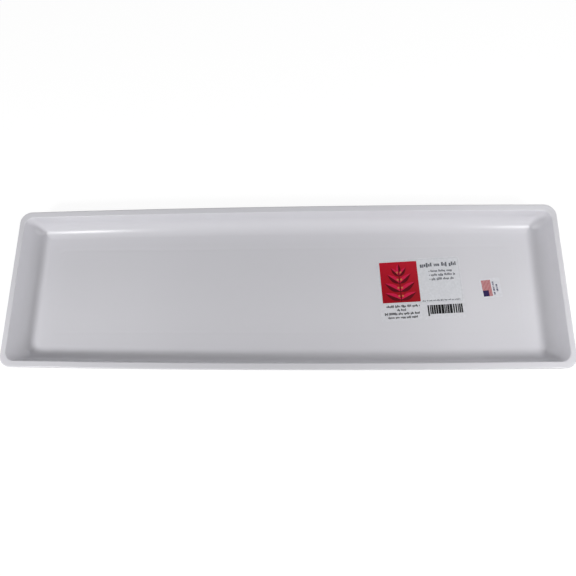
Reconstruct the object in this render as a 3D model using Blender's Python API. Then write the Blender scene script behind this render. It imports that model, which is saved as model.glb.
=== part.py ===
"""Window box tray: a long shallow moulded tray that stands under a planter, with two stickers on its floor.

Metres, +Z up, X along the tray. The origin is under the middle of the tray, on the surface it stands on.
Run it with: blender --background --python part.py
"""

import math

import bmesh
import bpy
from mathutils import Vector

# Tray: overall size and wall
TRAY_LENGTH = 0.610        # over the lip, along X
TRAY_WIDTH = 0.1832        # over the lip, along Y, at mid length
SIDE_BOW = 0.0025          # each long side bows outwards by this at mid length
INSIDE_DEPTH = 0.0263      # from the top of the lip down to the floor
WALL_THICKNESS = 0.0020
FLOOR_THICKNESS = 0.0020
WALL_DRAFT = math.radians(10)    # lean of the walls from upright
COVE_RADIUS = 0.0175       # inside round between wall and floor

# Lip: turned outwards and rolled down into a short skirt
LIP_WIDTH = 0.0065         # in plan, from the mouth to the outermost edge
LIP_THICKNESS = 0.0020
LIP_ROLL = 0.0020          # radius of the roll at the outer edge
MOUTH_ROUND = 0.0010       # radius between the lip's flat top and the wall
SKIRT_DROP = 0.0090        # from the top of the lip to the skirt's lower edge
SKIRT_THICKNESS = 0.0018

# Corner radii in plan
LIP_CORNER = 0.0125        # at the outermost edge of the lip
MOUTH_CORNER = 0.0100      # at the mouth
FLOOR_CORNER = 0.0020      # at the floor, and the tightest that the corner gets on its way down

# Foot ring under the floor, and the sink line that it draws on the floor above it
FOOT_INSET = 0.0137        # from the edge of the flat floor to the middle of the ring
FOOT_CORNER = 0.0050       # plan radius of the ring's middle line
FOOT_HEIGHT = 0.0015
FOOT_ROOT = 0.0034         # width where the ring leaves the floor
FOOT_TREAD = 0.0024        # width that it stands on
SINK_WIDTH = 0.0056
SINK_DEPTH = 0.0001

# Gate mark under the middle of the floor: a shallow dish that keeps the trimmed stub off the ground
GATE_RADIUS = 0.0040
GATE_DEPTH = 0.0005
GATE_STUB_RADIUS = 0.0013
GATE_STUB_HEIGHT = 0.0004

# Stickers on the floor, placed from the right-hand end of the flat floor
STICKER_GAP = 0.0001       # between the floor and the underside of a sticker
STICKER_THICKNESS = 0.0002
LABEL_LENGTH = 0.0945
LABEL_WIDTH = 0.0715
LABEL_CORNER = 0.0025
LABEL_FROM_END = 0.1207    # floor's end to the label's middle
LABEL_OFF_CENTRE = 0.0006
LABEL_TURN = math.radians(3.0)
ORIGIN_LENGTH = 0.0225
ORIGIN_WIDTH = 0.0225
ORIGIN_CORNER = 0.0020
ORIGIN_FROM_END = 0.0431
ORIGIN_OFF_CENTRE = 0.0008
ORIGIN_TURN = math.radians(5.5)

# Facets
CORNER_STEPS = 8           # along a plan corner
LONG_SIDE_STEPS = 8        # along a bowed long side
SHORT_SIDE_STEPS = 2
COVE_STEPS = 7
ROLL_STEPS = 5
MOUTH_STEPS = 3
SHARP_ANGLE = math.radians(35)

# Heights and half sizes that follow
FLOOR_Z = FOOT_HEIGHT + FLOOR_THICKNESS
TOP_Z = FLOOR_Z + INSIDE_DEPTH
HALF_LENGTH = TRAY_LENGTH / 2
HALF_WIDTH = TRAY_WIDTH / 2 - SIDE_BOW    # of the plain rectangle before its long sides bow


def clear_scene():
    """Remove every object that the file starts with."""
    for item in list(bpy.data.objects):
        bpy.data.objects.remove(item, do_unlink=True)


def principled(name, colour, roughness, metallic=0.0):
    """A plain Principled material."""
    material = bpy.data.materials.new(name)
    material.use_nodes = True
    shader = material.node_tree.nodes["Principled BSDF"]
    shader.inputs["Base Color"].default_value = (*colour, 1.0)
    shader.inputs["Roughness"].default_value = roughness
    shader.inputs["Metallic"].default_value = metallic
    return material


def add_object(name, bm, material):
    """Turn a closed bmesh into a named object, smooth where its faces meet gently."""
    bmesh.ops.recalc_face_normals(bm, faces=bm.faces[:])
    mesh = bpy.data.meshes.new(name)
    bm.to_mesh(mesh)
    bm.free()
    mesh.shade_smooth()
    mesh.set_sharp_from_angle(angle=SHARP_ANGLE)
    mesh.materials.append(material)
    item = bpy.data.objects.new(name, mesh)
    bpy.context.collection.objects.link(item)
    return item


def rounded_outline(half_length, half_width, radius, bow=0.0, long_steps=1, short_steps=1):
    """Plan points of a rounded rectangle, anticlockwise, whose long sides may bow outwards."""
    corners = []
    for quarter, (side_x, side_y) in enumerate(((1, 1), (-1, 1), (-1, -1), (1, -1))):
        centre = Vector((side_x * (half_length - radius), side_y * (half_width - radius)))
        angles = [math.pi / 2 * (quarter + step / CORNER_STEPS) for step in range(CORNER_STEPS + 1)]
        corners.append([centre + radius * Vector((math.cos(a), math.sin(a))) for a in angles])
    points = []
    for quarter, corner in enumerate(corners):
        following = corners[(quarter + 1) % 4]
        steps = short_steps if quarter % 2 else long_steps
        points += corner
        points += [corner[-1].lerp(following[0], step / steps) for step in range(1, steps)]
    for point in points:
        point.y *= 1 + bow * (1 - (point.x / half_length) ** 2) / half_width
    return points


def at_height(points, z):
    """Lift plan points to a height."""
    return [Vector((point.x, point.y, z)) for point in points]


def loft(bm, rings):
    """Skin a run of rings with quads and close both ends."""
    rings = [[bm.verts.new(point) for point in ring] for ring in rings]
    for near, far in zip(rings, rings[1:]):
        for index in range(len(near)):
            after = (index + 1) % len(near)
            bm.faces.new((near[index], near[after], far[after], far[index]))
    bm.faces.new(rings[0])
    bm.faces.new(reversed(rings[-1]))


def arc(centre, radius, start, end, steps):
    """Points of an arc in the section plane, given as (inset, height)."""
    angles = [start + (end - start) * step / steps for step in range(steps + 1)]
    return [(centre[0] + radius * math.cos(a), centre[1] + radius * math.sin(a)) for a in angles]


def cove_centre(wall_top_inset, floor_z, radius):
    """Centre of a round that touches both the leaning wall and a level floor, as (inset, height)."""
    height = floor_z + radius
    wall_inset = wall_top_inset + (TOP_Z - height) * math.tan(WALL_DRAFT)
    return wall_inset + radius / math.cos(WALL_DRAFT), height


def floor_edge_inset():
    """Inset at which the cove runs out into the flat floor."""
    return cove_centre(LIP_WIDTH, FLOOR_Z, COVE_RADIUS)[0]


def inner_section():
    """Section from the flat floor up the cove and wall, over the lip and down the skirt's outer face."""
    centre = cove_centre(LIP_WIDTH, FLOOR_Z, COVE_RADIUS)
    cove = arc(centre, COVE_RADIUS, math.radians(270), math.pi + WALL_DRAFT, COVE_STEPS)
    mouth_reach = MOUTH_ROUND * math.tan((math.pi / 2 - WALL_DRAFT) / 2)
    mouth_centre = (LIP_WIDTH - mouth_reach, TOP_Z - MOUTH_ROUND)
    mouth = arc(mouth_centre, MOUTH_ROUND, WALL_DRAFT, math.pi / 2, MOUTH_STEPS)
    roll = arc((LIP_ROLL, TOP_Z - LIP_ROLL), LIP_ROLL, math.pi / 2, math.pi, ROLL_STEPS)
    return cove + mouth + roll + [(0.0, TOP_Z - SKIRT_DROP)]


def outer_section():
    """Section from the skirt's inner face up under the lip and down the outside of the wall to the underside."""
    under_lip_z = TOP_Z - LIP_THICKNESS
    inner_roll = max(LIP_ROLL - SKIRT_THICKNESS, MOUTH_ROUND)
    roll_centre = (SKIRT_THICKNESS + inner_roll, under_lip_z - inner_roll)
    roll = arc(roll_centre, inner_roll, math.pi, math.pi / 2, ROLL_STEPS)
    wall_top_inset = LIP_WIDTH - WALL_THICKNESS / math.cos(WALL_DRAFT)
    wall_head = (wall_top_inset + LIP_THICKNESS * math.tan(WALL_DRAFT), under_lip_z)
    radius = COVE_RADIUS + WALL_THICKNESS
    centre = cove_centre(wall_top_inset, FOOT_HEIGHT, radius)
    cove = arc(centre, radius, math.pi + WALL_DRAFT, math.radians(270), COVE_STEPS)
    return [(SKIRT_THICKNESS, TOP_Z - SKIRT_DROP)] + roll + [wall_head] + cove


def corner_radius(inset):
    """Plan corner radius at an inset from the lip's outermost edge: below the mouth the lean runs round it."""
    if inset < LIP_WIDTH:
        return LIP_CORNER + (MOUTH_CORNER - LIP_CORNER) * inset / LIP_WIDTH
    return max(MOUTH_CORNER - (inset - LIP_WIDTH), FLOOR_CORNER)


def tray_ring(inset, z):
    """Ring of the tray's shell at an inset and a height."""
    outline = rounded_outline(HALF_LENGTH - inset, HALF_WIDTH - inset, corner_radius(inset), SIDE_BOW,
                              LONG_SIDE_STEPS, SHORT_SIDE_STEPS)
    return at_height(outline, z)


def foot_ring(offset, z):
    """Ring that runs along the foot, at an offset to the outside of its middle line."""
    inset = floor_edge_inset() + FOOT_INSET - offset
    outline = rounded_outline(HALF_LENGTH - inset, HALF_WIDTH - inset, FOOT_CORNER + offset, 0.0,
                              LONG_SIDE_STEPS, SHORT_SIDE_STEPS)
    return at_height(outline, z)


def gate_ring(radius, z):
    """Round ring about the middle of the underside, with a point towards each point of the foot."""
    return [Vector((radius * p.x / p.xy.length, radius * p.y / p.xy.length, z)) for p in foot_ring(0.0, z)]


def build_tray(material):
    """The moulded shell, skinned from the floor over the lip and round to the underside."""
    sink = [(-SINK_WIDTH / 2, FLOOR_Z), (0.0, FLOOR_Z - SINK_DEPTH), (SINK_WIDTH / 2, FLOOR_Z)]
    foot = [
        (FOOT_ROOT / 2, FOOT_HEIGHT),
        (FOOT_TREAD / 2, 0.0),
        (-FOOT_TREAD / 2, 0.0),
        (-FOOT_ROOT / 2, FOOT_HEIGHT),
    ]
    dish_z = FOOT_HEIGHT + GATE_DEPTH
    gate = [
        (GATE_RADIUS, FOOT_HEIGHT),
        (GATE_RADIUS - GATE_DEPTH, dish_z),
        (GATE_STUB_RADIUS, dish_z),
        (GATE_STUB_RADIUS, dish_z - GATE_STUB_HEIGHT),
    ]
    rings = [foot_ring(offset, z) for offset, z in sink]
    rings += [tray_ring(inset, z) for inset, z in inner_section() + outer_section()]
    rings += [foot_ring(offset, z) for offset, z in foot]
    rings += [gate_ring(radius, z) for radius, z in gate]
    bm = bmesh.new()
    loft(bm, rings)
    return add_object("tray", bm, material)


def build_sticker(name, size, corner, from_end, off_centre, turn, material):
    """A thin sticker with rounded corners, lying on the floor."""
    outline = rounded_outline(size[0] / 2, size[1] / 2, corner)
    bm = bmesh.new()
    loft(bm, [at_height(outline, STICKER_THICKNESS), at_height(outline, 0.0)])
    item = add_object(name, bm, material)
    floor_end = HALF_LENGTH - floor_edge_inset()
    item.location = (floor_end - from_end, off_centre, FLOOR_Z + STICKER_GAP)
    item.rotation_euler.z = turn
    return item


def main():
    clear_scene()
    plastic = principled("white_plastic", (0.66, 0.655, 0.69), 0.32)
    label_film = principled("label_film", (0.66, 0.68, 0.71), 0.40)
    sticker_film = principled("sticker_film", (0.70, 0.70, 0.73), 0.45)
    build_tray(plastic)
    build_sticker("product_label", (LABEL_LENGTH, LABEL_WIDTH), LABEL_CORNER,
                  LABEL_FROM_END, LABEL_OFF_CENTRE, LABEL_TURN, label_film)
    build_sticker("origin_sticker", (ORIGIN_LENGTH, ORIGIN_WIDTH), ORIGIN_CORNER,
                  ORIGIN_FROM_END, ORIGIN_OFF_CENTRE, ORIGIN_TURN, sticker_film)


main()
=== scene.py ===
"""Looks of the window box tray: the fine moulding, its printed stickers, the studio and the camera."""

import math
import random

import bmesh
import bpy
from mathutils import Matrix, Vector
from mathutils.geometry import delaunay_2d_cdt


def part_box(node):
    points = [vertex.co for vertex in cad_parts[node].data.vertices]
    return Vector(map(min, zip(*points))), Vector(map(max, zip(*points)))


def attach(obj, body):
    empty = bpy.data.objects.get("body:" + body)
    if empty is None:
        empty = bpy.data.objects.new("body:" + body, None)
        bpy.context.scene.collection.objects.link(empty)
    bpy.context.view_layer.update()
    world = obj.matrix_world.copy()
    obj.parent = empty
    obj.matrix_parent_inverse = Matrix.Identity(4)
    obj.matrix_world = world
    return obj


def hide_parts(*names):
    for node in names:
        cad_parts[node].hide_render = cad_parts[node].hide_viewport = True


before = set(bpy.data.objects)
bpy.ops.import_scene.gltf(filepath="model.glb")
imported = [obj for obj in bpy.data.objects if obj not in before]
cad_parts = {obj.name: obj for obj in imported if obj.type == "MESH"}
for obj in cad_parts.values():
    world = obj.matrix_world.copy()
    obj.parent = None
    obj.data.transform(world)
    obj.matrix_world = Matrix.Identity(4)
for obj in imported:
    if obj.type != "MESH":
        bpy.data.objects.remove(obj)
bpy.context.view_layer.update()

# Tray, in metres: the overall sizes come from the tray in model.glb
TRAY_LOW, TRAY_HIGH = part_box("tray")
STICKER_GAP = 0.0001        # between the floor and the stickers' solids
FLOOR_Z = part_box("product_label")[0].z - STICKER_GAP
TOP_Z = TRAY_HIGH.z
SIDE_BOW = 0.0025           # of the long sides, at mid length
HALF_LENGTH = (TRAY_HIGH.x - TRAY_LOW.x) / 2
HALF_WIDTH = (TRAY_HIGH.y - TRAY_LOW.y) / 2 - SIDE_BOW
WALL_THICKNESS = 0.0020
WALL_DRAFT = math.radians(10)
COVE_RADIUS = 0.0175
LIP_WIDTH = 0.0065
END_LIP_WIDTH = 0.0053      # across the short sides
END_TRIM = 0.0006           # the short sides' lip starts inside the nominal outline by this
LIP_THICKNESS = 0.0020
LIP_ROLL = 0.0012
MOUTH_DROP = 0.0010         # fall of the lip's top from its outer edge to the mouth
MOUTH_ROUND = 0.0010
SKIRT_DROP = 0.0090
SKIRT_THICKNESS = 0.0018
EDGE_ROUND = 0.0005
UNDER_LIP_ROUND = 0.0008
LIP_CORNER = 0.0125
MOUTH_CORNER = 0.0100
FLOOR_CORNER = 0.0010
CORNER_SWELL = 1.0          # growth of the corner's radius per length, just below the mouth
CORNER_RUN = 0.01775        # inset at which the corner has tightened to the floor's
FOOT_INSET = 0.0137         # from the floor's edge to the middle line of the foot
FOOT_CORNER = 0.0050
FOOT_HEIGHT = 0.0015
FOOT_ROOT = 0.0034          # the foot's width at the floor
FOOT_TREAD = 0.0024         # the foot's width where it rests
SINK_WIDTH = 0.0056
SINK_DEPTH = 0.0001
GATE_GROUND = 0.0060        # radius of the flat ground round the gate mark
GATE_RADIUS = 0.0040
GATE_FLOOR = 0.0032         # radius at the bottom of its dimple
GATE_DEPTH = 0.0005
GATE_ROUND = EDGE_ROUND / 2
STUB_RADIUS = 0.0013
STUB_TIP = 0.00117          # radius at the stub's trimmed end
STUB_CAP = 0.00039          # radius of the last ring, which closes that end
STUB_HEIGHT = 0.0004
STUB_ROUND = EDGE_ROUND / 4
FLAT_FACE_WEIGHT = 100      # 50 is neutral, and above it large faces steer the shading more

# Steps along each side or arc
LONG_SIDE_STEPS = 40
SHORT_SIDE_STEPS = 10
CORNER_STEPS = 20
COVE_STEPS = 24
LIP_STEPS = 14
MOUTH_STEPS = 8
UNDER_LIP_STEPS = 6
EDGE_STEPS = 4
SINK_STEPS = 8
ROOT_STEPS = 3
GATE_STEPS = 3
STUB_STEPS = 2
STICKER_CORNER_STEPS = 6
PRINT_CORNER_STEPS = 5
LEAF_STEPS = 8
DISC_SIDES = 12

# Stickers: they lie where their solids lie, and their plan sizes are in millimetres
MM = 0.001
STICKER_LIFT = 0.00004      # of the film over the floor, in metres like the next
STICKER_THICKNESS = 0.00016
CUT_TOLERANCE = 1e-4
LABEL_SIZE = (94.5, 71.5)
LABEL_CORNER = 2.5
LABEL_TURN = math.radians(3.0)
ORIGIN_SIZE = (22.5, 22.5)
ORIGIN_CORNER = 2.0
ORIGIN_TURN = math.radians(5.5)

# The label's print, in millimetres from its middle: a box is its left, bottom, right and top
LABEL_SEED = 24
BORDER_BOX = (-44.7, -16.5, 45.3, 34.0)
BORDER_CORNER = 1.6
BORDER_LINE = 0.25
PANEL = (-44.0, -15.0, -1.5, 32.6)
PANEL_CORNER = 0.8
HEADING = (2.0, 24.0, 43.5, 29.4)
BULLET_RADIUS = 0.6
BULLET_X = 11.6
BULLET_RISE = 1.5
BULLET_TEXT_X = 13.4
BULLET_TEXT_HEIGHT = 3.2
BULLET_LINES = [(38.0, 17.8), (41.0, 13.2), (39.0, 8.4)]       # right end, bottom
FOOTNOTE = (0.4, -15.6, 42.9, -13.8)
NOTE_LINES = [
    (-40.4, -20.9, -2.6, -17.8),
    (-29.0, -25.0, -16.7, -22.0),
    (-43.0, -29.2, -3.6, -26.2),
    (-39.8, -33.3, -6.5, -30.4),
]
BAR_CODE = (5.0, -30.0, 44.0, -19.8)
BAR_UNIT = 0.42
BAR_WIDTHS = (3, 4, 5, 7)           # in bar units
BAR_GAPS = (1, 1, 2)
FIRST_GUARD = 3                     # bars that start this near to either end are longer, in bar units
LAST_GUARD = 4
GUARD_DROP = 2.2

# Small print: a word's fewest and most letters, and the letters' sizes as shares of the line's height
WORD_LETTERS = (3, 7)
WORD_GAP = 0.36
LETTER_GAP = 0.09
LETTER_WIDTHS = (0.24, 0.32, 0.38)
LETTER_BOTTOMS = (0.0, 0.18, 0.18)
LETTER_TOPS = (0.72, 0.72, 1.0)

# The sprig on the label's panel: a joint is its height, its leaves' length and their spread in degrees
SPRIG_JOINTS = [(-12.0, 19.5, 64), (-2.5, 20.0, 58), (7.0, 17.5, 50), (15.5, 13.5, 40)]
LEAF_WIDTH = 0.40                   # over the leaf's length
LEAF_BULGE = 0.8                    # below one, the leaf is widest nearer to its root
TIP_RISE = 3.0
TIP_LENGTH = 12.0
TIP_WIDTH = 5.2
VEIN_WIDTH = 0.44
VEIN_REACH = 0.9                    # over the leaf's length
STEM_WIDTH = 0.9
STEM_START = 1.2
STEM_OVERLAP = 1.0
BERRY_RADIUS = 1.15
BERRY_ASIDE = 2.0
BERRY_RISE = 4.6

# The small sticker's print
ORIGIN_SEED = 7
STRIPES = (-9.3, -9.4, 0.7, 9.3)
STRIPE_COUNT = 7
BLUE_BLOCK = (-9.3, -9.4, -3.0, -2.5)
MARK_COLUMNS = [(2.2, -8.0, 6.0), (5.8, -4.5, 3.0)]            # left, bottom, top
MARK_WIDTH = 1.9
MARK_LENGTHS = (0.8, 1.2, 1.6)
MARK_GAPS = (0.4, 0.6, 1.0)

# Print colours
LABEL_WHITE = (0.665, 0.665, 0.700)
BORDER_WHITE = (0.660, 0.668, 0.702)
BORDER_GREY = (0.47, 0.48, 0.51)
CRIMSON_LOW = (0.31, 0.003, 0.010)
CRIMSON_HIGH = (0.46, 0.008, 0.024)
LEAF_LIGHT = (0.58, 0.012, 0.062)
LEAF_DARK = (0.10, 0.001, 0.006)
STEM_DARK = (0.050, 0.001, 0.004)
BERRY_ORANGE = (0.50, 0.17, 0.06)
TEXT_GREY = (0.11, 0.115, 0.135)
TEXT_DARK = (0.012, 0.013, 0.016)
BAR_BLACK = (0.005, 0.005, 0.006)
STICKER_WHITE = (0.69, 0.69, 0.73)
STRIPE_RED = (0.40, 0.09, 0.10)
STRIPE_PALE = (0.57, 0.33, 0.34)
BLOCK_BLUE = (0.026, 0.014, 0.082)
MARK_BLUE = (0.05, 0.05, 0.12)

# Finishes: a noise's scale is per metre, and its range is what it is mapped to
NOISE_LOW = 0.3
NOISE_HIGH = 0.7
BUMP_DISTANCE = 0.0001
PLASTIC_COLOUR = (0.66, 0.655, 0.69)
PLASTIC_ROUGHNESS = 0.27
PLASTIC_SPECULAR = 0.25
CLOUD_SCALE = 14.0
CLOUD_RANGE = (0.996, 1.004)
RUB_SCALE = (12.0, 90.0, 90.0)
RUB_RANGE = (0.998, 1.002)
SKIN_SCALE = 900.0
SKIN_STRENGTH = 0.05
LABEL_ROUGHNESS = 0.40
STICKER_ROUGHNESS = 0.45
FILM_SPECULAR = 0.15
MOTTLE_SCALE = 420.0
MOTTLE_RANGE = (0.94, 1.05)
GLOSS_SCALE = 150.0
GLOSS_SPREAD = 0.04
FIBRE_SCALE = (2600.0, 1800.0, 1800.0)
FIBRE_STRENGTH = 0.06

# Camera, from a perspective fit of the tray's edges; the image is square
IMAGE_SIZE = 576
FOCAL_PIXELS = 433.2
SENSOR_WIDTH = 36.0
CAMERA_FROM_LIP = Vector((0.0328, -0.1110, 0.4586))    # from the middle of the mouth, at the lip's top
CAMERA_PITCH = math.radians(76.57)
CAMERA_YAW = math.radians(-12.37)
CAMERA_ROLL = math.radians(-12.415)

# Studio: softboxes given as name, place from the middle of the tray's floor, width, height and power
LAMPS = [
    ("left_softbox", (-0.546, -0.320, 0.480), 0.11, 0.09, 2.69),
    ("right_softbox", (0.507, -0.225, 0.400), 0.12, 0.10, 1.50),
    ("left_panel", (-0.950, 0.000, 0.160), 0.50, 0.25, 0.28),
    ("right_panel", (0.950, 0.000, 0.160), 0.50, 0.25, 0.72),
    ("front_panel", (0.000, -0.800, 0.560), 1.20, 0.40, 1.07),
    ("left_back_panel", (-0.460, 0.120, 0.500), 0.30, 0.30, 0.16),
    ("right_back_panel", (0.460, 0.120, 0.500), 0.30, 0.30, 0.60),
]
FILL_HORIZON = 1.05         # strength of the world's light, from the horizon up to the zenith
FILL_ZENITH = 0.066
FILL_TOP = 0.6              # sine of the elevation at which it has faded to the zenith's
STAGE_REACH = 4.0
STAGE_DROP = 0.0002
STAGE_GREY = 0.12           # what the studio floor throws back
STAGE_LIFT = 0.93           # what it adds where it is seen
WHITE = (1.0, 1.0, 1.0, 1.0)


# Plan outlines and sections

def rounded_outline(half_length, half_width, radius, corner_steps, bow=0.0, long_steps=1, short_steps=1):
    """Plan points of a rounded rectangle, anticlockwise, whose long sides may bow outwards."""
    corners = []
    for quarter, (side_x, side_y) in enumerate(((1, 1), (-1, 1), (-1, -1), (1, -1))):
        centre = Vector((side_x * (half_length - radius), side_y * (half_width - radius)))
        angles = [math.pi / 2 * (quarter + step / corner_steps) for step in range(corner_steps + 1)]
        corners.append([centre + radius * Vector((math.cos(a), math.sin(a))) for a in angles])
    points = []
    for quarter, corner in enumerate(corners):
        following = corners[(quarter + 1) % 4]
        steps = short_steps if quarter % 2 else long_steps
        points += corner
        points += [corner[-1].lerp(following[0], step / steps) for step in range(1, steps)]
    for point in points:
        point.y *= 1 + bow * (1 - (point.x / half_length) ** 2) / half_width
    return points


def rounded_path(corners):
    """Open section path through (inset, height, radius, steps) corners, each turned into an arc."""
    path = [Vector(corners[0][:2])]
    for before, corner, after in zip(corners, corners[1:], corners[2:]):
        point = Vector(corner[:2])
        back = (Vector(before[:2]) - point).normalized()
        ahead = (Vector(after[:2]) - point).normalized()
        half_angle = back.angle(ahead) / 2
        radius, steps = corner[2:]
        centre = point + (back + ahead).normalized() * radius / math.sin(half_angle)
        first = point + back * radius / math.tan(half_angle) - centre
        last = point + ahead * radius / math.tan(half_angle) - centre
        sweep = first.angle_signed(last)
        for step in range(steps + 1):
            path.append(centre + Matrix.Rotation(-sweep * step / steps, 2) @ first)
    path.append(Vector(corners[-1][:2]))
    return path


def floor_edge_inset():
    """Inset at which the cove runs out into the flat floor."""
    height = FLOOR_Z + COVE_RADIUS
    return LIP_WIDTH + (TOP_Z - height) * math.tan(WALL_DRAFT) + COVE_RADIUS / math.cos(WALL_DRAFT)


def shell_section():
    """Section of the shell from the floor's edge up the wall, over the lip and down to the underside."""
    lean = math.tan(WALL_DRAFT)
    outside = LIP_WIDTH - WALL_THICKNESS / math.cos(WALL_DRAFT)
    outer_cove = COVE_RADIUS + WALL_THICKNESS
    skirt_z = TOP_Z - SKIRT_DROP
    under_lip_z = TOP_Z - LIP_THICKNESS
    past_cove = floor_edge_inset() + FOOT_INSET - SINK_WIDTH
    corners = [
        (past_cove, FLOOR_Z),
        (LIP_WIDTH + (TOP_Z - FLOOR_Z) * lean, FLOOR_Z, COVE_RADIUS, COVE_STEPS),
        (LIP_WIDTH + MOUTH_DROP * lean, TOP_Z - MOUTH_DROP, MOUTH_ROUND, MOUTH_STEPS),
        (0.0, TOP_Z, LIP_ROLL, LIP_STEPS),
        (0.0, skirt_z, EDGE_ROUND, EDGE_STEPS),
        (SKIRT_THICKNESS, skirt_z, EDGE_ROUND, EDGE_STEPS),
        (SKIRT_THICKNESS, under_lip_z, MOUTH_ROUND, MOUTH_STEPS),
        (outside + (LIP_THICKNESS + MOUTH_DROP) * lean, under_lip_z - MOUTH_DROP,
         UNDER_LIP_ROUND, UNDER_LIP_STEPS),
        (outside + (TOP_Z - FOOT_HEIGHT) * lean, FOOT_HEIGHT, outer_cove, COVE_STEPS),
        (past_cove, FOOT_HEIGHT),
    ]
    return rounded_path(corners)[1:-1]


def corner_radius(inset):
    """Plan corner radius at an inset from the lip's edge: it swells, then tightens down the cove."""
    if inset < LIP_WIDTH:
        return LIP_CORNER + (MOUTH_CORNER - LIP_CORNER) * inset / LIP_WIDTH
    run = CORNER_RUN - LIP_WIDTH
    along = min(inset - LIP_WIDTH, run)
    fall = (MOUTH_CORNER + CORNER_SWELL * run - FLOOR_CORNER) / run ** 2
    return MOUTH_CORNER + CORNER_SWELL * along - fall * along ** 2


def tray_outline(from_end, from_side, radius, bow):
    """Plan outline of the tray at insets from its short and long sides, with the moulding's own facets."""
    return rounded_outline(HALF_LENGTH - from_end, HALF_WIDTH - from_side, radius,
                           CORNER_STEPS, bow, LONG_SIDE_STEPS, SHORT_SIDE_STEPS)


def end_inset(inset):
    """Inset of the short sides: their lip is narrower, and the wall below it ends at the same floor."""
    mouth = END_TRIM + END_LIP_WIDTH
    floor_edge = floor_edge_inset()
    if inset < LIP_WIDTH:
        return END_TRIM + END_LIP_WIDTH * inset / LIP_WIDTH
    if inset < floor_edge:
        return mouth + (floor_edge - mouth) * (inset - LIP_WIDTH) / (floor_edge - LIP_WIDTH)
    return inset


def shell_ring(inset, z):
    """Ring of the shell at an inset and a height."""
    outline = tray_outline(end_inset(inset), inset, corner_radius(inset), SIDE_BOW)
    return [(p.x, p.y, z) for p in outline]


def foot_ring(offset, z):
    """Ring along the foot, at an offset to the outside of its middle line."""
    inset = floor_edge_inset() + FOOT_INSET - offset
    return [(p.x, p.y, z) for p in tray_outline(inset, inset, FOOT_CORNER + offset, 0.0)]


def gate_ring(radius, z):
    """Round ring about the middle of the underside, with a point towards each point of the foot."""
    inset = floor_edge_inset() + FOOT_INSET
    outline = tray_outline(inset, inset, FOOT_CORNER, 0.0)
    return [(radius * p.x / p.length, radius * p.y / p.length, z) for p in outline]


# Mesh helpers

def add_piece(name, bm, material, node):
    """Turn a bmesh into a piece that rides with the tray and stands for one of its nodes."""
    bmesh.ops.recalc_face_normals(bm, faces=bm.faces[:])
    mesh = bpy.data.meshes.new(name)
    bm.to_mesh(mesh)
    bm.free()
    mesh.materials.append(material)
    item = bpy.data.objects.new(name, mesh)
    bpy.context.collection.objects.link(item)
    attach(item, "root")
    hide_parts(node)
    return item


def loft(rings):
    """A closed bmesh skinned over a run of rings, with both ends closed."""
    bm = bmesh.new()
    rings = [[bm.verts.new(point) for point in ring] for ring in rings]
    for near, far in zip(rings, rings[1:]):
        for index in range(len(near)):
            after = (index + 1) % len(near)
            bm.faces.new((near[index], near[after], far[after], far[index]))
    bm.faces.new(rings[0])
    bm.faces.new(reversed(rings[-1]))
    return bm


# Tray

def sink_section():
    """Section of the faint line that the foot leaves on the floor, from the foot's inner side outwards."""
    section = []
    for step in range(SINK_STEPS + 1):
        share = step / SINK_STEPS
        depth = SINK_DEPTH * (1 - math.cos(2 * math.pi * share)) / 2
        section.append((SINK_WIDTH * (share - 0.5), FLOOR_Z - depth))
    return section


def foot_section():
    """Section of the foot under the floor, from its outer side inwards."""
    return rounded_path([
        (FOOT_ROOT, FOOT_HEIGHT),
        (FOOT_ROOT / 2, FOOT_HEIGHT, EDGE_ROUND, ROOT_STEPS),
        (FOOT_TREAD / 2, 0.0, EDGE_ROUND, EDGE_STEPS),
        (-FOOT_TREAD / 2, 0.0, EDGE_ROUND, EDGE_STEPS),
        (-FOOT_ROOT / 2, FOOT_HEIGHT, EDGE_ROUND, ROOT_STEPS),
        (-FOOT_ROOT, FOOT_HEIGHT),
    ])


def gate_section():
    """Section of the dimple in the underside with the gate's trimmed stub, from its rim to its middle."""
    dimple_z = FOOT_HEIGHT + GATE_DEPTH
    return rounded_path([
        (GATE_GROUND, FOOT_HEIGHT),
        (GATE_RADIUS, FOOT_HEIGHT, EDGE_ROUND, GATE_STEPS),
        (GATE_FLOOR, dimple_z, GATE_ROUND, GATE_STEPS),
        (STUB_RADIUS, dimple_z, STUB_ROUND, STUB_STEPS),
        (STUB_TIP, dimple_z - STUB_HEIGHT, STUB_ROUND, STUB_STEPS),
        (STUB_CAP, dimple_z - STUB_HEIGHT),
    ])


def build_tray(material):
    """The moulded shell with its sink line, rounded edges, foot ring and gate mark."""
    rings = [foot_ring(offset, z) for offset, z in sink_section()]
    rings += [shell_ring(inset, z) for inset, z in shell_section()]
    rings += [foot_ring(offset, z) for offset, z in foot_section()]
    rings += [gate_ring(radius, z) for radius, z in gate_section()]
    tray = add_piece("tray_moulding", loft(rings), material, "tray")
    tray.data.shade_smooth()
    weighted = tray.modifiers.new("flat_faces_stay_flat", "WEIGHTED_NORMAL")
    weighted.weight = FLAT_FACE_WEIGHT


# Print: shapes are (points, colour at the bottom, colour at the top), the later ones over the earlier

def flat_ink(points, colour):
    """A shape in one colour."""
    return points, colour, colour


def block(left, bottom, right, top):
    """A plain rectangle."""
    return [Vector((left, bottom)), Vector((right, bottom)), Vector((right, top)), Vector((left, top))]


def rounded_block(left, bottom, right, top, radius):
    """A rectangle with rounded corners."""
    middle = Vector((left + right, bottom + top)) / 2
    outline = rounded_outline((right - left) / 2, (top - bottom) / 2, radius, PRINT_CORNER_STEPS)
    return [middle + point for point in outline]


def disc(centre, radius):
    """A round spot."""
    angles = [2 * math.pi * side / DISC_SIDES for side in range(DISC_SIDES)]
    return [centre + radius * Vector((math.cos(a), math.sin(a))) for a in angles]


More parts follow.
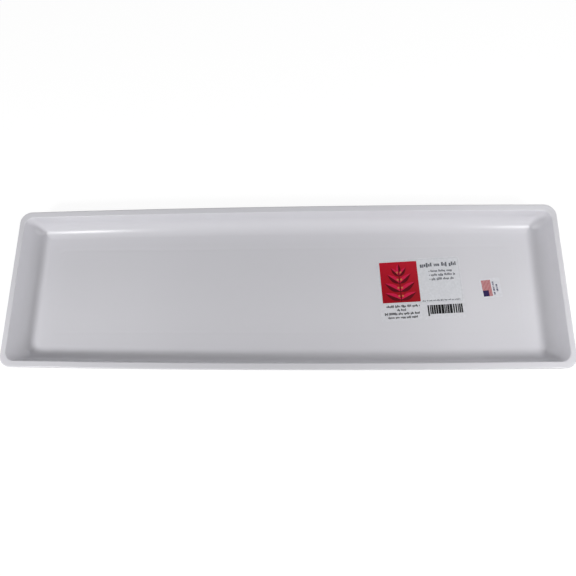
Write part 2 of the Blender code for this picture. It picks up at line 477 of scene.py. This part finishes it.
def small_print(left, bottom, right, top, colour, rng):
    """A line of print too small to read, as letter-sized blocks set in words."""
    height = top - bottom
    shapes = []
    x = left
    while x < right:
        for _ in range(rng.randint(*WORD_LETTERS)):
            width = height * rng.choice(LETTER_WIDTHS)
            if x + width > right:
                break
            low = bottom + height * rng.choice(LETTER_BOTTOMS)
            high = bottom + height * rng.choice(LETTER_TOPS)
            shapes.append(flat_ink(block(x, low, x + width, high), colour))
            x += width + height * LETTER_GAP
        x += height * WORD_GAP
    return shapes


def bar_code(left, bottom, right, top, rng):
    """A run of upright bars of made-up widths, with longer guard bars at both ends."""
    shapes = []
    x = left
    while x < right - BAR_UNIT:
        width = min(BAR_UNIT * rng.choice(BAR_WIDTHS), right - x)
        guard = x < left + FIRST_GUARD * BAR_UNIT or x > right - LAST_GUARD * BAR_UNIT
        low = bottom - GUARD_DROP if guard else bottom
        shapes.append(flat_ink(block(x, low, x + width, top), BAR_BLACK))
        x += width + BAR_UNIT * rng.choice(BAR_GAPS)
    return shapes


def leaf_halves(root, direction, length, width):
    """The two halves of a pointed leaf, left half first, either side of its midrib."""
    across = Vector((-direction.y, direction.x))
    halves = []
    for side in (1, -1):
        edge = []
        for step in range(LEAF_STEPS + 1):
            share = step / LEAF_STEPS
            swell = math.sin(math.pi * share ** LEAF_BULGE) * width / 2
            edge.append(root + direction * length * share + across * side * swell)
        halves.append(edge)
    return halves


def leaf_print(root, direction, length, width):
    """A leaf with one half in the light, the other in the shade and a dark vein between them."""
    left_half, right_half = leaf_halves(root, direction, length, width)
    light_half, dark_half = (left_half, right_half) if direction.x >= 0 else (right_half, left_half)
    vein = Vector((-direction.y, direction.x)) * VEIN_WIDTH / 2
    end = root + direction * length * VEIN_REACH
    return [
        flat_ink(light_half, LEAF_LIGHT),
        flat_ink(dark_half, LEAF_DARK),
        flat_ink([root - vein, end, root + vein], STEM_DARK),
    ]


def sprig_panel():
    """A leafy sprig on a crimson ground, with small berries beside its stem."""
    left, bottom, right, _ = PANEL
    shapes = [(rounded_block(*PANEL, PANEL_CORNER), CRIMSON_LOW, CRIMSON_HIGH)]
    middle = (left + right) / 2
    for height, length, spread in SPRIG_JOINTS:
        for side in (-1, 1):
            angle = math.radians(90 - side * spread)
            direction = Vector((math.cos(angle), math.sin(angle)))
            shapes += leaf_print(Vector((middle, height)), direction, length, length * LEAF_WIDTH)
    tip = Vector((middle, SPRIG_JOINTS[-1][0] + TIP_RISE))
    shapes += leaf_print(tip, Vector((0.0, 1.0)), TIP_LENGTH, TIP_WIDTH)
    half_stem = STEM_WIDTH / 2
    stem = block(middle - half_stem, bottom + STEM_START, middle + half_stem, tip.y + STEM_OVERLAP)
    shapes.append(flat_ink(stem, STEM_DARK))
    for height, _, _ in SPRIG_JOINTS:
        for side in (-1, 1):
            spot = Vector((middle + side * BERRY_ASIDE, height + BERRY_RISE))
            shapes.append(flat_ink(disc(spot, BERRY_RADIUS), BERRY_ORANGE))
    return shapes


def label_print():
    """The big label's print: a boxed picture panel, lines of small print and a bar code."""
    rng = random.Random(LABEL_SEED)
    left, bottom, right, top = BORDER_BOX
    inside = (left + BORDER_LINE, bottom + BORDER_LINE, right - BORDER_LINE, top - BORDER_LINE)
    shapes = [
        flat_ink(rounded_block(*BORDER_BOX, BORDER_CORNER), BORDER_GREY),
        flat_ink(rounded_block(*inside, BORDER_CORNER - BORDER_LINE), BORDER_WHITE),
    ]
    shapes += sprig_panel()
    shapes += small_print(*HEADING, TEXT_GREY, rng)
    for line_right, low in BULLET_LINES:
        high = low + BULLET_TEXT_HEIGHT
        shapes.append(flat_ink(disc(Vector((BULLET_X, low + BULLET_RISE)), BULLET_RADIUS), TEXT_GREY))
        shapes += small_print(BULLET_TEXT_X, low, line_right, high, TEXT_GREY, rng)
    shapes += small_print(*FOOTNOTE, TEXT_GREY, rng)
    for line in NOTE_LINES:
        shapes += small_print(*line, TEXT_DARK, rng)
    shapes += bar_code(*BAR_CODE, rng)
    return shapes


def origin_print():
    """The small sticker's print: upright stripes with a blue block, and two columns of small marks."""
    rng = random.Random(ORIGIN_SEED)
    left, bottom, right, top = STRIPES
    shapes = [flat_ink(block(*STRIPES), STRIPE_PALE)]
    pitch = (right - left) / (2 * STRIPE_COUNT - 1)
    for stripe in range(STRIPE_COUNT):
        edge = left + 2 * stripe * pitch
        shapes.append(flat_ink(block(edge, bottom, edge + pitch, top), STRIPE_RED))
    shapes.append(flat_ink(block(*BLUE_BLOCK), BLOCK_BLUE))
    for column, low, high in MARK_COLUMNS:
        y = low
        while y < high:
            length = rng.choice(MARK_LENGTHS)
            shapes.append(flat_ink(block(column, y, column + MARK_WIDTH, y + length), MARK_BLUE))
            y += length + rng.choice(MARK_GAPS)
    return shapes


# Stickers

def area_of(points):
    """Area inside a run of points, positive where they run anticlockwise."""
    return sum(a.cross(b) for a, b in zip(points, points[1:] + points[:1])) / 2


def print_colour(shape, point):
    """Colour of a shape at one of its points, blended from bottom to top."""
    points, low, high = shape
    heights = [p.y for p in points]
    share = (point.y - min(heights)) / (max(heights) - min(heights))
    return [a + (b - a) * share for a, b in zip(low, high)]


def cut_along_print(shapes):
    """Points and facets of a sheet cut along its print, with the shapes that each facet lies in.

    The first shape is the sheet's own outline, and its points come first among the points too.
    """
    points = []
    loops = []
    for outline, _, _ in shapes:
        loop = list(range(len(points), len(points) + len(outline)))
        loops.append(loop if area_of(outline) > 0 else loop[::-1])
        points += outline
    keep_inside = 1
    points, _, facets, _, _, sources = delaunay_2d_cdt(points, [], loops, keep_inside, CUT_TOLERANCE)
    return points, facets, sources


def build_sticker(name, size, corner, turn, white, shapes, material):
    """A thin printed sticker: its top face is cut along the print, and each facet carries its ink."""
    outline = rounded_outline(size[0] / 2, size[1] / 2, corner, STICKER_CORNER_STEPS)
    shapes = [flat_ink(outline, white)] + shapes
    points, facets, sources = cut_along_print(shapes)
    low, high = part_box(name)
    middle = Vector(((low.x + high.x) / 2, (low.y + high.y) / 2, 0.0))
    place = Matrix.Translation(middle) @ Matrix.Rotation(turn, 4, "Z")
    top_z = FLOOR_Z + STICKER_LIFT + STICKER_THICKNESS
    bm = bmesh.new()
    ink = bm.loops.layers.float_color.new("ink")
    top = [bm.verts.new(place @ Vector((p.x * MM, p.y * MM, top_z))) for p in points]
    for facet, source in zip(facets, sources):
        face = bm.faces.new([top[index] for index in facet])
        for loop, index in zip(face.loops, facet):
            loop[ink] = (*print_colour(shapes[max(source)], points[index]), 1.0)
    rim = top[:len(outline)]
    base = [bm.verts.new(vert.co - Vector((0.0, 0.0, STICKER_THICKNESS))) for vert in rim]
    bare_faces = [bm.faces.new(base[::-1])]
    for index in range(len(rim)):
        bare_faces.append(bm.faces.new((rim[index - 1], base[index - 1], base[index], rim[index])))
    for face in bare_faces:
        for loop in face.loops:
            loop[ink] = (*white, 1.0)
    add_piece(name + "_print", bm, material, name)


# Materials

def new_material(name):
    """A material with its node tree and Principled shader."""
    material = bpy.data.materials.new(name)
    material.use_nodes = True
    return material, material.node_tree, material.node_tree.nodes["Principled BSDF"]


def noise(tree, coordinates, scale=1.0, detail=3.0):
    """A noise texture over the given coordinates."""
    node = tree.nodes.new("ShaderNodeTexNoise")
    node.inputs["Scale"].default_value = scale
    node.inputs["Detail"].default_value = detail
    tree.links.new(coordinates, node.inputs["Vector"])
    return node.outputs["Fac"]


def remap(tree, value, low, high):
    """Turn the usual range of a noise into the range from low to high."""
    node = tree.nodes.new("ShaderNodeMapRange")
    node.inputs["From Min"].default_value = NOISE_LOW
    node.inputs["From Max"].default_value = NOISE_HIGH
    node.inputs["To Min"].default_value = low
    node.inputs["To Max"].default_value = high
    tree.links.new(value, node.inputs["Value"])
    return node.outputs["Result"]


def stretched(tree, coordinates, scale):
    """Coordinates stretched by a factor along each axis."""
    node = tree.nodes.new("ShaderNodeMapping")
    node.inputs["Scale"].default_value = scale
    tree.links.new(coordinates, node.inputs["Vector"])
    return node.outputs["Vector"]


def combined(tree, operation, first, second):
    """Two values put through a maths operation; the second is a socket or a plain number."""
    node = tree.nodes.new("ShaderNodeMath")
    node.operation = operation
    tree.links.new(first, node.inputs[0])
    if isinstance(second, float):
        node.inputs[1].default_value = second
    else:
        tree.links.new(second, node.inputs[1])
    return node.outputs["Value"]


def tinted(tree, colour, factor):
    """A colour made lighter or darker by a factor; the colour is a socket or a plain triple."""
    node = tree.nodes.new("ShaderNodeVectorMath")
    node.operation = "SCALE"
    if isinstance(colour, tuple):
        node.inputs["Vector"].default_value = colour
    else:
        tree.links.new(colour, node.inputs["Vector"])
    tree.links.new(factor, node.inputs["Scale"])
    return node.outputs["Vector"]


def bump(tree, shader, height, strength):
    """Feed a height to the shader as a fine relief."""
    node = tree.nodes.new("ShaderNodeBump")
    node.inputs["Strength"].default_value = strength
    node.inputs["Distance"].default_value = BUMP_DISTANCE
    tree.links.new(height, node.inputs["Height"])
    tree.links.new(node.outputs["Normal"], shader.inputs["Normal"])


def plastic_material():
    """Glossy white plastic: faint clouding, rub marks along the tray and a fine moulded skin."""
    material, tree, shader = new_material("white_plastic")
    place = tree.nodes.new("ShaderNodeTexCoord").outputs["Object"]
    clouds = remap(tree, noise(tree, place, CLOUD_SCALE), *CLOUD_RANGE)
    rubs = remap(tree, noise(tree, stretched(tree, place, RUB_SCALE), detail=4.0), *RUB_RANGE)
    colour = tinted(tree, PLASTIC_COLOUR, combined(tree, "MULTIPLY", clouds, rubs))
    tree.links.new(colour, shader.inputs["Base Color"])
    shader.inputs["Roughness"].default_value = PLASTIC_ROUGHNESS
    shader.inputs["Specular IOR Level"].default_value = PLASTIC_SPECULAR
    bump(tree, shader, noise(tree, place, SKIN_SCALE, detail=2.0), SKIN_STRENGTH)
    return material


def film_material(name, roughness):
    """Printed film: the ink of each facet with a slight mottle, on a faintly fibrous surface."""
    material, tree, shader = new_material(name)
    place = tree.nodes.new("ShaderNodeTexCoord").outputs["Object"]
    ink = tree.nodes.new("ShaderNodeVertexColor")
    ink.layer_name = "ink"
    mottle = remap(tree, noise(tree, place, MOTTLE_SCALE, detail=4.0), *MOTTLE_RANGE)
    tree.links.new(tinted(tree, ink.outputs["Color"], mottle), shader.inputs["Base Color"])
    gloss = remap(tree, noise(tree, place, GLOSS_SCALE), roughness - GLOSS_SPREAD, roughness + GLOSS_SPREAD)
    tree.links.new(gloss, shader.inputs["Roughness"])
    shader.inputs["Specular IOR Level"].default_value = FILM_SPECULAR
    bump(tree, shader, noise(tree, stretched(tree, place, FIBRE_SCALE)), FIBRE_STRENGTH)
    return material


def seen_directly(tree):
    """One for what is seen by the camera, in a gloss or through glass, and nought for light sent on."""
    path = tree.nodes.new("ShaderNodeLightPath")
    seen = path.outputs["Is Camera Ray"]
    for ray in ("Is Glossy Ray", "Is Transmission Ray"):
        seen = combined(tree, "MAXIMUM", seen, path.outputs[ray])
    return seen


# Studio and camera

def studio_floor():
    """A wide plain floor: grey for the light it throws back, lifted to white where it is seen."""
    bm = bmesh.new()
    bmesh.ops.create_grid(bm, x_segments=1, y_segments=1, size=STAGE_REACH)
    mesh = bpy.data.meshes.new("studio_floor")
    bm.to_mesh(mesh)
    bm.free()
    material, tree, shader = new_material("studio_floor")
    shader.inputs["Base Color"].default_value = (STAGE_GREY, STAGE_GREY, STAGE_GREY, 1.0)
    shader.inputs["Roughness"].default_value = 1.0
    shader.inputs["Specular IOR Level"].default_value = 0.0
    shader.inputs["Emission Color"].default_value = WHITE
    lift = combined(tree, "MULTIPLY", seen_directly(tree), STAGE_LIFT)
    tree.links.new(lift, shader.inputs["Emission Strength"])
    mesh.materials.append(material)
    item = bpy.data.objects.new("studio_floor", mesh)
    item.location.z = -STAGE_DROP
    bpy.context.collection.objects.link(item)


def studio_lamps():
    """Softboxes round the tray, all turned to its middle."""
    target = Vector((0.0, 0.0, FLOOR_Z))
    for name, place, width, height, power in LAMPS:
        lamp = bpy.data.lights.new(name, "AREA")
        lamp.shape = "RECTANGLE"
        lamp.size = width
        lamp.size_y = height
        lamp.energy = power
        item = bpy.data.objects.new(name, lamp)
        item.location = target + Vector(place)
        item.rotation_euler = (-Vector(place)).to_track_quat("-Z", "Y").to_euler()
        bpy.context.collection.objects.link(item)


def studio_fill():
    """A soft fill from the world, bright at the horizon and faint overhead."""
    world = bpy.data.worlds.new("studio_fill")
    world.use_nodes = True
    tree = world.node_tree
    background = tree.nodes["Background"]
    background.inputs["Color"].default_value = WHITE
    direction = tree.nodes.new("ShaderNodeSeparateXYZ")
    tree.links.new(tree.nodes.new("ShaderNodeTexCoord").outputs["Generated"], direction.inputs["Vector"])
    fade = tree.nodes.new("ShaderNodeMapRange")
    fade.interpolation_type = "SMOOTHSTEP"
    fade.inputs["From Max"].default_value = FILL_TOP
    fade.inputs["To Min"].default_value = FILL_HORIZON
    fade.inputs["To Max"].default_value = FILL_ZENITH
    tree.links.new(direction.outputs["Z"], fade.inputs["Value"])
    tree.links.new(fade.outputs["Result"], background.inputs["Strength"])
    bpy.context.scene.world = world


def camera():
    """The photograph's camera, set from its pitch, yaw and roll."""
    cos_pitch, sin_pitch = math.cos(CAMERA_PITCH), math.sin(CAMERA_PITCH)
    cos_yaw, sin_yaw = math.cos(CAMERA_YAW), math.sin(CAMERA_YAW)
    ahead = Vector((sin_yaw * cos_pitch, cos_yaw * cos_pitch, -sin_pitch))
    level = Vector((cos_yaw, -sin_yaw, 0.0))
    above = level.cross(ahead)
    right = math.cos(CAMERA_ROLL) * level + math.sin(CAMERA_ROLL) * above
    up = math.cos(CAMERA_ROLL) * above - math.sin(CAMERA_ROLL) * level
    data = bpy.data.cameras.new("camera")
    data.sensor_width = SENSOR_WIDTH
    data.lens = FOCAL_PIXELS / IMAGE_SIZE * SENSOR_WIDTH
    item = bpy.data.objects.new("camera", data)
    turn = Matrix((right, up, -ahead)).transposed().to_4x4()
    item.matrix_world = Matrix.Translation(CAMERA_FROM_LIP + Vector((0.0, 0.0, TOP_Z))) @ turn
    bpy.context.collection.objects.link(item)
    bpy.context.scene.camera = item


bpy.context.scene.view_settings.view_transform = "Standard"
build_tray(plastic_material())
build_sticker("product_label", LABEL_SIZE, LABEL_CORNER, LABEL_TURN, LABEL_WHITE, label_print(),
              film_material("label_film", LABEL_ROUGHNESS))
build_sticker("origin_sticker", ORIGIN_SIZE, ORIGIN_CORNER, ORIGIN_TURN, STICKER_WHITE, origin_print(),
              film_material("sticker_film", STICKER_ROUGHNESS))
studio_floor()
studio_lamps()
studio_fill()
camera()
